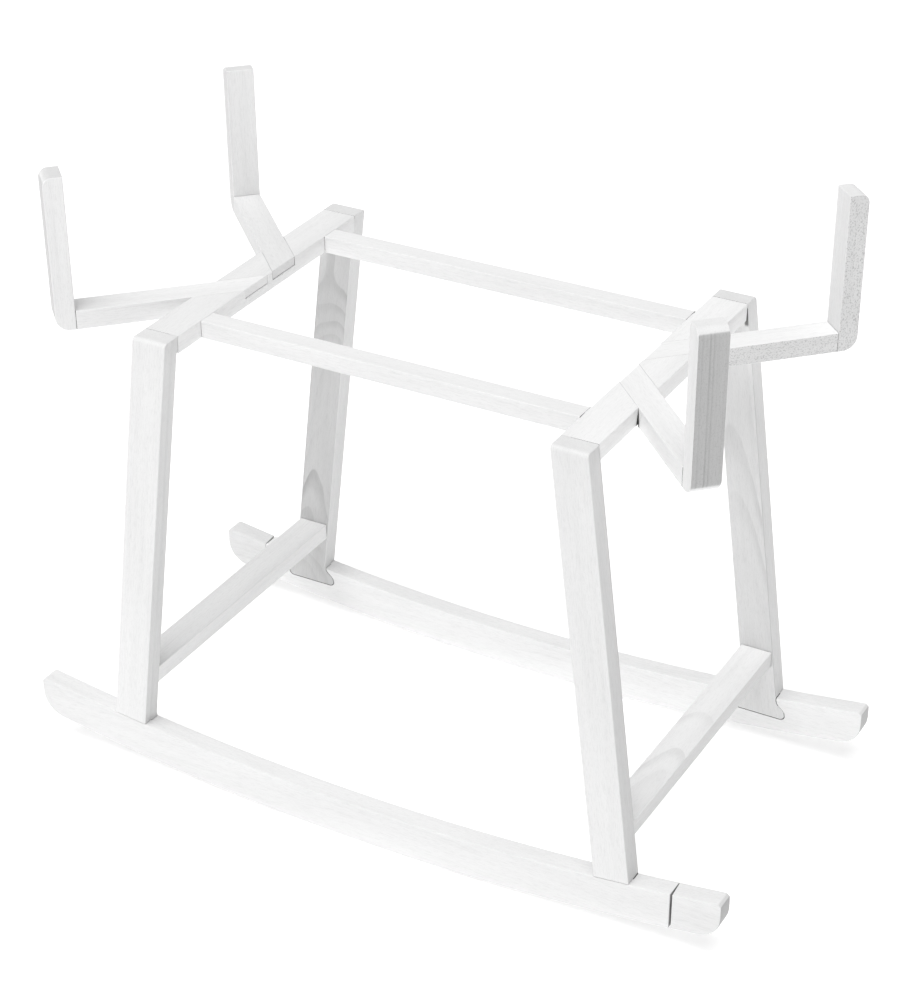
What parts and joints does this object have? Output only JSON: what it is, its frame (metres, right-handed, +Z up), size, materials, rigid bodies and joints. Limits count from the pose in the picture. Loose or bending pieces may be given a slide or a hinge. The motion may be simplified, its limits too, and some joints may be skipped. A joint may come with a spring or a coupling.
{
  "type": "rocking basket stand",
  "caption": "Free-standing rocking stand in white-glazed beech: a frame on curved rockers, with corner arms and uprights that hold a basket bed, and rocker ends that turn to stop it rocking.",
  "frame": {"origin": "on the floor, under the middle of the stand", "axes": "+X along the rockers to the right, +Y to the rear, +Z up"},
  "size_m": [0.876, 0.4202, 0.7179],
  "materials": {
    "glazed_beech": "thin white glaze over fine straight grain, satin",
    "plain_beech": "bare turned beech",
    "zinced_steel": "bright zinc plate"
  },
  "bodies": {
    "stand": {"end_rail_left": "glazed_beech", "stretcher_left": "glazed_beech", "end_rail_right": "glazed_beech", "stretcher_right": "glazed_beech", "long_rail_front": "glazed_beech", "rocker_front": "glazed_beech", "stop_insert_front": "zinced_steel", "long_rail_rear": "glazed_beech", "rocker_rear": "glazed_beech", "stop_insert_rear": "zinced_steel", "leg_front_left": "glazed_beech", "arm_front_left": "glazed_beech", "upright_front_left": "glazed_beech", "arm_screw_front_left": "zinced_steel", "long_rail_dowel_front_left": "plain_beech", "end_rail_dowel_front_left_1": "plain_beech", "end_rail_dowel_front_left_2": "plain_beech", "stretcher_dowel_front_left_1": "plain_beech", "stretcher_dowel_front_left_2": "plain_beech", "upright_dowel_front_left_1": "plain_beech", "upright_dowel_front_left_2": "plain_beech", "leg_rear_left": "glazed_beech", "arm_rear_left": "glazed_beech", "upright_rear_left": "glazed_beech", "arm_screw_rear_left": "zinced_steel", "long_rail_dowel_rear_left": "plain_beech", "end_rail_dowel_rear_left_1": "plain_beech", "end_rail_dowel_rear_left_2": "plain_beech", "stretcher_dowel_rear_left_1": "plain_beech", "stretcher_dowel_rear_left_2": "plain_beech", "upright_dowel_rear_left_1": "plain_beech", "upright_dowel_rear_left_2": "plain_beech", "leg_front_right": "glazed_beech", "arm_front_right": "glazed_beech", "upright_front_right": "glazed_beech", "arm_screw_front_right": "zinced_steel", "long_rail_dowel_front_right": "plain_beech", "end_rail_dowel_front_right_1": "plain_beech", "end_rail_dowel_front_right_2": "plain_beech", "stretcher_dowel_front_right_1": "plain_beech", "stretcher_dowel_front_right_2": "plain_beech", "upright_dowel_front_right_1": "plain_beech", "upright_dowel_front_right_2": "plain_beech", "leg_rear_right": "glazed_beech", "arm_rear_right": "glazed_beech", "upright_rear_right": "glazed_beech", "arm_screw_rear_right": "zinced_steel", "long_rail_dowel_rear_right": "plain_beech", "end_rail_dowel_rear_right_1": "plain_beech", "end_rail_dowel_rear_right_2": "plain_beech", "stretcher_dowel_rear_right_1": "plain_beech", "stretcher_dowel_rear_right_2": "plain_beech", "upright_dowel_rear_right_1": "plain_beech", "upright_dowel_rear_right_2": "plain_beech"},
    "front_stop": {"rocker_stop_front": "glazed_beech", "stop_bolt_front": "zinced_steel"},
    "rear_stop": {"rocker_stop_rear": "glazed_beech", "stop_bolt_rear": "zinced_steel"}
  },
  "joints": [
    {"name": "front_stop_turn", "type": "hinge", "parent": "stand", "child": "front_stop", "pos_m": [0.38, -0.198, 0.04035], "axis": [1, 0, 0], "range_deg": [0, 180]},
    {"name": "rear_stop_turn", "type": "hinge", "parent": "stand", "child": "rear_stop", "pos_m": [-0.38, 0.198, 0.04035], "axis": [-1, 0, 0], "range_deg": [0, 180]}
  ]
}
